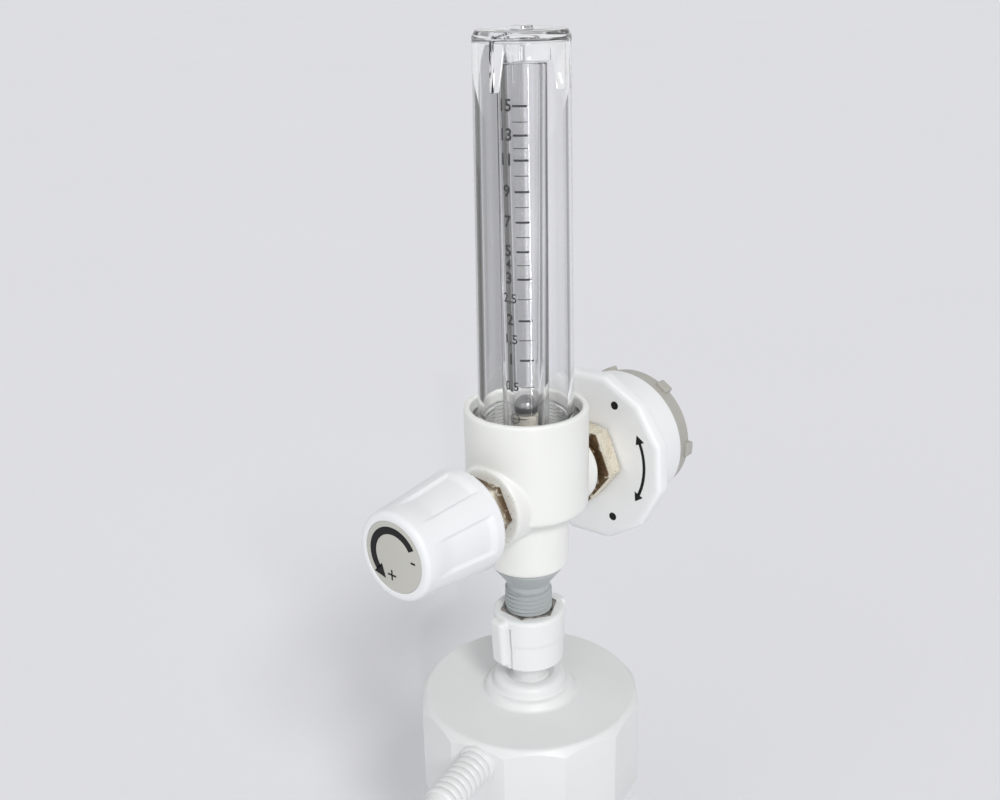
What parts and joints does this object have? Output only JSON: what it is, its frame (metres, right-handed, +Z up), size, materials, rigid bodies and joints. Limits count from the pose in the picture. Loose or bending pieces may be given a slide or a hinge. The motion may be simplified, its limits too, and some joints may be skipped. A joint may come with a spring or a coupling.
{
  "type": "oxygen flowmeter",
  "caption": "Wall-outlet oxygen flowmeter: clear graduated column with a ball float on a valve body, control knob, locking gas probe and a screw-on humidifier.",
  "frame": {"origin": "centre of the humidifier jar's base, on the surface it stands on", "axes": "+Z up along the column and jar, +Y along the gas probe towards the wall, so the control knob points along -Y"},
  "size_m": [0.069, 0.1269, 0.3088],
  "materials": {
    "body_paint": "warm white stove enamel with a slight orange-peel texture",
    "outlet_metal": "grey satin coating",
    "nickel": "nickel plating with fine turning marks",
    "brass": "plain machined",
    "steel": "polished",
    "dull_insert": "dull dark plating, scratched",
    "clear_plastic": "clear polycarbonate, glossy",
    "knob_plastic": "cool white, fine satin",
    "label": "grey-green satin label",
    "collar_plastic": "white satin",
    "grey_plastic": "light grey satin",
    "lid_plastic": "grey-white moulded",
    "nut_plastic": "white moulded",
    "pale_bush": "beige",
    "seal_rubber": "matt black",
    "sintered": "porous sintered bronze",
    "porous_plastic": "porous white"
  },
  "bodies": {
    "jar": {"jar": "clear_plastic"},
    "humidifier_head": {"lid": "lid_plastic", "lid_gasket": "seal_rubber", "inlet_nipple": "nickel", "nipple_washer": "seal_rubber", "dip_tube": "clear_plastic", "diffuser": "porous_plastic"},
    "wing_nut": {"wing_nut": "nut_plastic", "wing_nut_insert": "dull_insert"},
    "flowmeter": {"valve_body": "body_paint", "shroud": "clear_plastic", "shroud_seal": "seal_rubber", "flow_tube": "clear_plastic", "tube_seal": "seal_rubber", "ball_seat": "pale_bush", "gland_nut": "nickel", "outlet_fitting": "outlet_metal", "outlet_seal": "seal_rubber", "inlet_nut": "nickel", "inlet_filter": "sintered", "probe_stem": "nickel", "probe_seal": "seal_rubber", "collar_circlip": "steel"},
    "control": {"spindle": "brass", "spindle_seal": "seal_rubber", "control_knob": "knob_plastic", "knob_screw": "steel", "knob_label": "label"},
    "needle": {"needle": "brass"},
    "float": {"float_ball": "steel"},
    "lock_ring": {"locking_collar": "collar_plastic", "bayonet_ring": "grey_plastic"}
  },
  "joints": [
    {"name": "lid_lift", "type": "slide", "parent": "jar", "child": "humidifier_head", "axis": [0, 0, 1], "range_m": [0, 0.1]},
    {"name": "wing_nut_turn", "type": "hinge", "parent": "humidifier_head", "child": "wing_nut", "pos_m": [0, 0, 0.13], "axis": [0, 0, -1], "range_deg": [0, 2520]},
    {"name": "flowmeter_lift", "type": "slide", "parent": "humidifier_head", "child": "flowmeter", "axis": [0, 0, 1], "range_m": [0, 0.00985]},
    {"name": "knob_turn", "type": "hinge", "parent": "flowmeter", "child": "control", "pos_m": [0, -0.04, 0.1791], "axis": [0, -1, 0], "range_deg": [0, 630]},
    {"name": "needle_travel", "type": "slide", "parent": "flowmeter", "child": "needle", "axis": [0, -1, 0], "range_m": [0, 0.00131]},
    {"name": "float_rise", "type": "slide", "parent": "flowmeter", "child": "float", "axis": [0, 0, 1], "range_m": [0, 0.0915]},
    {"name": "collar_turn", "type": "hinge", "parent": "flowmeter", "child": "lock_ring", "pos_m": [0, 0.04, 0.1791], "axis": [0, 1, 0], "range_deg": [0, 45]}
  ],
  "couplings": [
    {"joint": "wing_nut_turn", "follows": "flowmeter_lift", "rad_per_m": 4452.7},
    {"joint": "needle_travel", "follows": "knob_turn", "m_per_rad": 0.00011937}
  ]
}
